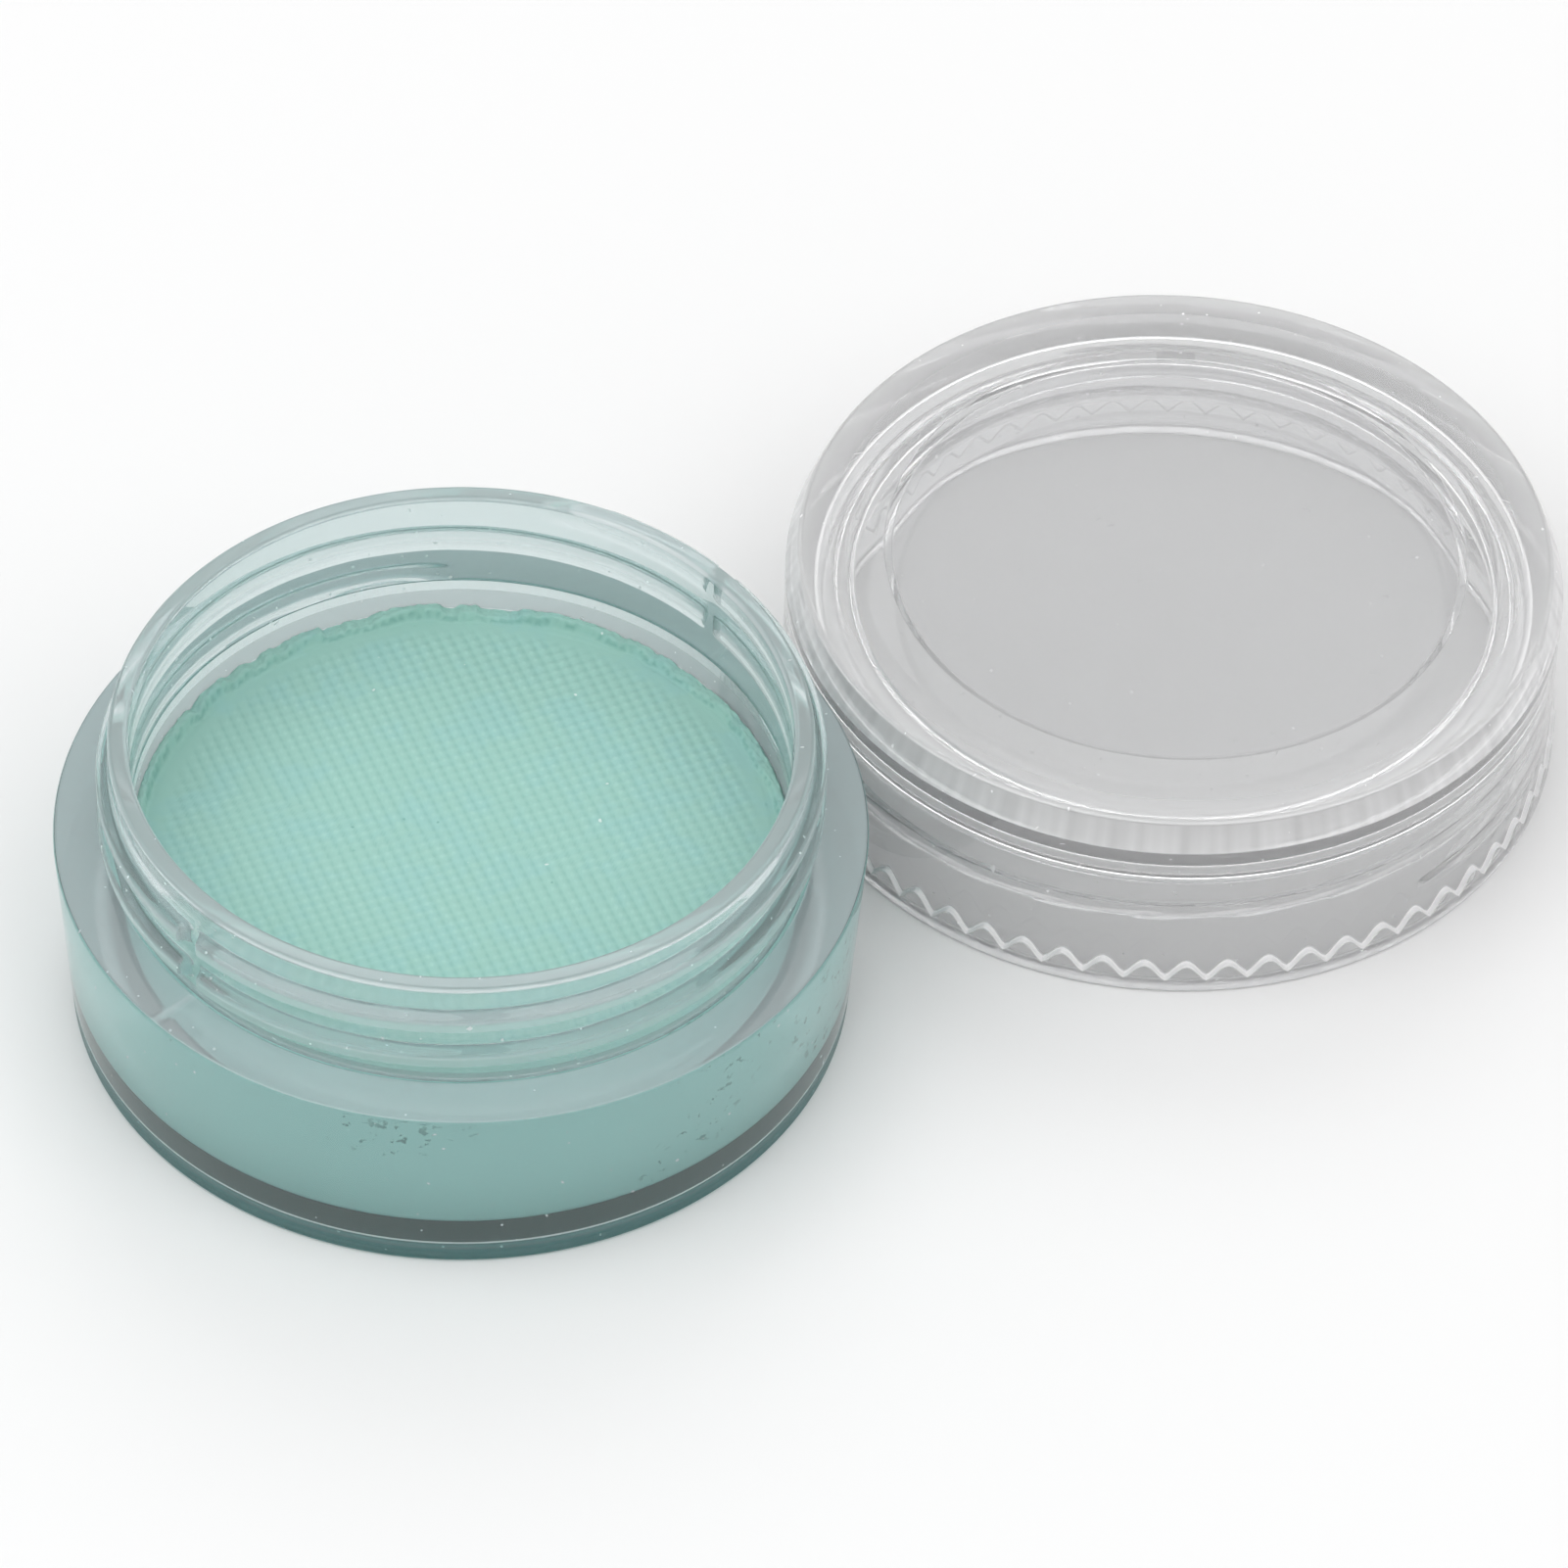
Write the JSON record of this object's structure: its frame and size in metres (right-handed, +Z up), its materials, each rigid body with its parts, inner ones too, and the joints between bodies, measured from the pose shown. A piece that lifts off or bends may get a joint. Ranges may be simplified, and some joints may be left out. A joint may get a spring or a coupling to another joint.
{
  "type": "cake paint pot",
  "caption": "Small round clear screw-top pot holding a pressed cake of water-activated paint, open, with its clear fluted screw lid lying flat beside it.",
  "frame": {"origin": "centre of the pot's base, on the table", "axes": "+Z up along the pot's axis; +X from the pot towards the lid that lies beside it"},
  "size_m": [0.0803, 0.04, 0.017],
  "materials": {
    "clear_jar": "clear moulded polystyrene, polished",
    "mint_paint": "matt pressed paint with a fine woven imprint",
    "clear_lid": "clear moulded polystyrene, polished"
  },
  "bodies": {
    "pot": {"jar": "clear_jar", "paint_cake": "mint_paint"},
    "lid": {"lid": "clear_lid"}
  },
  "joints": [
    {"name": "lid_lift", "type": "slide", "parent": "pot", "child": "lid", "axis": [0, 0, 1], "range_m": [0, 0.03]}
  ]
}
